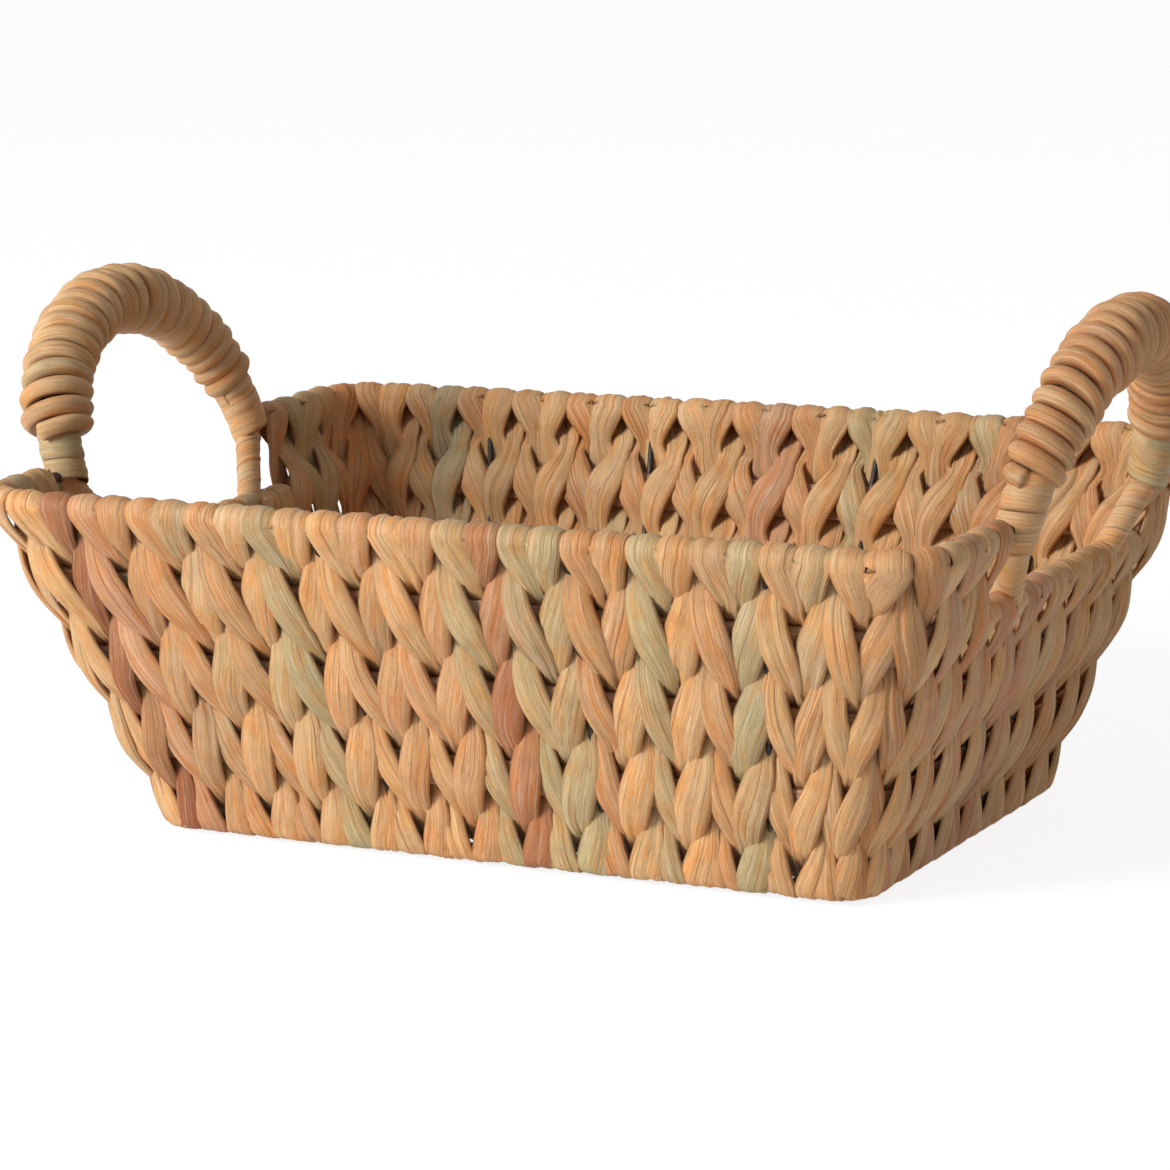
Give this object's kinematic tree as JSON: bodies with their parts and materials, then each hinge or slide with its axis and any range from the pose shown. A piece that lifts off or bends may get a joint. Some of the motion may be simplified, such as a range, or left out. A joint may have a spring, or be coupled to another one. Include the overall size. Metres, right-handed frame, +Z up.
{
  "type": "bread basket",
  "caption": "Oblong flared basket woven from flat leaf strands over a wire frame, with a dip and an upright arched coiled handle at each end.",
  "frame": {"origin": "on the table surface under the middle of the base", "axes": "+X along the length towards the right handle, -Y towards the front long wall, +Z up"},
  "size_m": [0.4112, 0.253, 0.1881],
  "materials": {
    "iron_wire": "dull black lacquer over drawn iron wire",
    "reed_band": "flat pale pinkish reed with fine lines along it, matte",
    "leaf_strand": "dried flattened water hyacinth leaf, wheat to sage green and rust, matt with a slight waxy sheen",
    "base_weave": "dried flattened water hyacinth leaf, matt",
    "handle_leaf": "twisted water hyacinth leaf, slight waxy sheen",
    "padding_leaf": "bundled dry leaf, matt",
    "binding_leaf": "thin dry leaf wound tight, satin"
  },
  "bodies": {
    "root": {"rim_wire_front": "iron_wire", "rim_wire_back": "iron_wire", "course_wire_upper": "iron_wire", "course_wire_middle": "iron_wire", "course_wire_lower": "iron_wire", "base_ring_wire": "iron_wire", "base_cross_wires": "iron_wire", "upright_wires": "iron_wire", "course_band_upper": "reed_band", "course_band_middle": "reed_band", "course_band_lower": "reed_band", "strands_front": "leaf_strand", "strands_back": "leaf_strand", "strands_left": "leaf_strand", "strands_right": "leaf_strand", "strands_front_left": "leaf_strand", "strands_front_right": "leaf_strand", "strands_back_left": "leaf_strand", "strands_back_right": "leaf_strand", "base_mat": "base_weave", "handle_wire_left": "iron_wire", "handle_wire_right": "iron_wire", "handle_padding_left": "padding_leaf", "handle_padding_right": "padding_leaf", "handle_coil_left": "handle_leaf", "handle_coil_right": "handle_leaf", "foot_binding_front_left": "binding_leaf", "foot_binding_back_left": "binding_leaf", "foot_binding_front_right": "binding_leaf", "foot_binding_back_right": "binding_leaf", "post_wraps_left": "binding_leaf", "post_wraps_right": "binding_leaf"}
  },
  "joints": []
}
